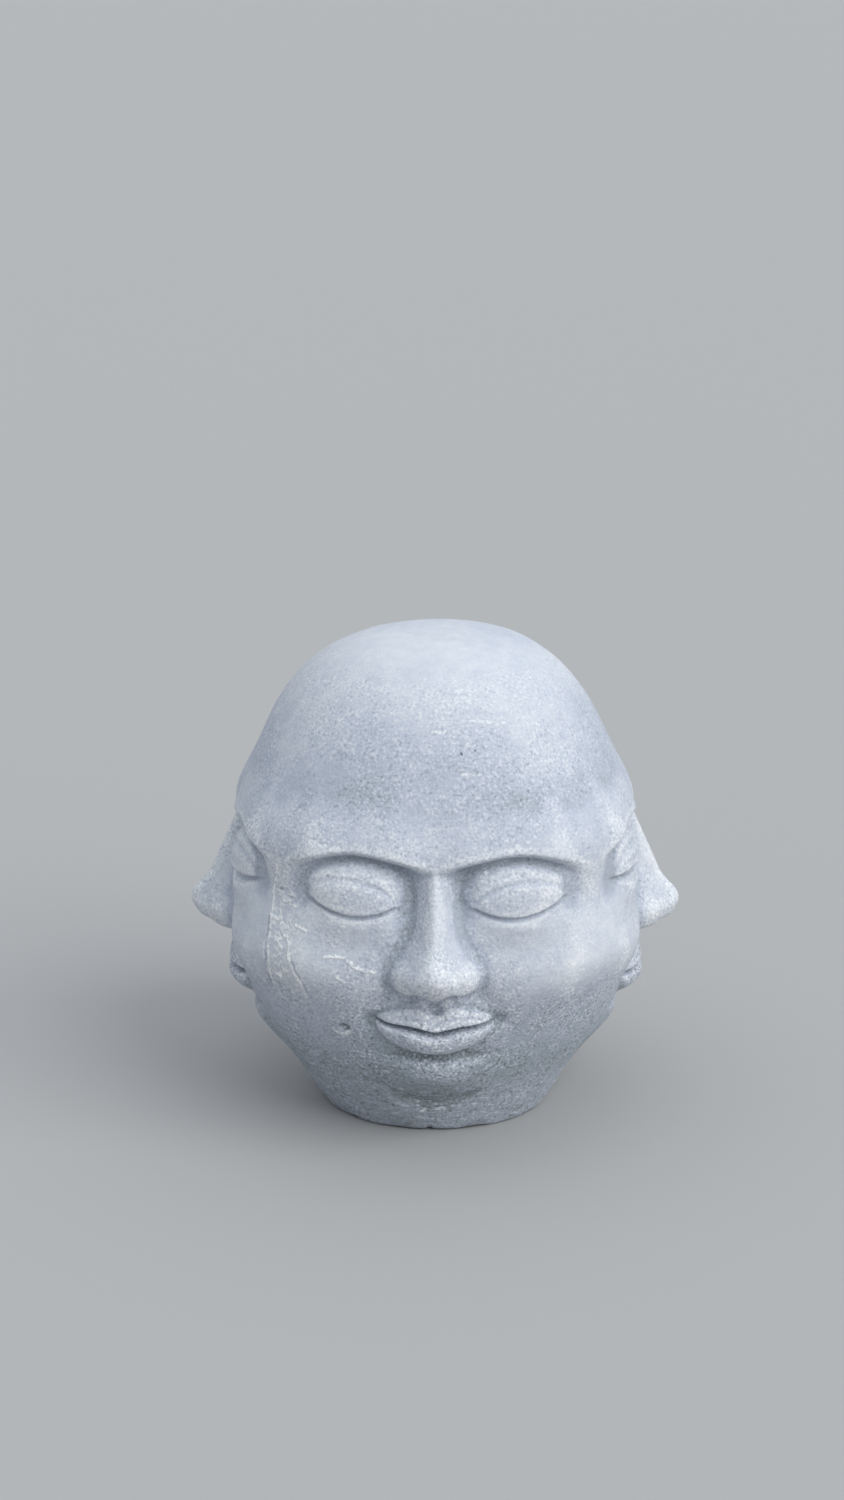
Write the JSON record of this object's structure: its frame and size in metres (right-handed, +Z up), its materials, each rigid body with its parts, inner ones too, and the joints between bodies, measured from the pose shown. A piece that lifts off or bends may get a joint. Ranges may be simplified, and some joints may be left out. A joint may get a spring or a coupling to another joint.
{
  "type": "four-faced buddha statue",
  "caption": "Round, bald buddha head in pale grey cast stone with a calm face on each side, standing on a flat underside.",
  "frame": {"origin": "middle of the flat underside, at ground level", "axes": "+Z up through the crown; the first face looks along -Y and the others along +X, +Y and -X"},
  "size_m": [0.2178, 0.2186, 0.2147],
  "materials": {
    "pale_grey_stone": "matte, finely grained, dry-brushed whitish on the raised parts"
  },
  "bodies": {
    "root": {"buddha_head": "pale_grey_stone"}
  },
  "joints": []
}
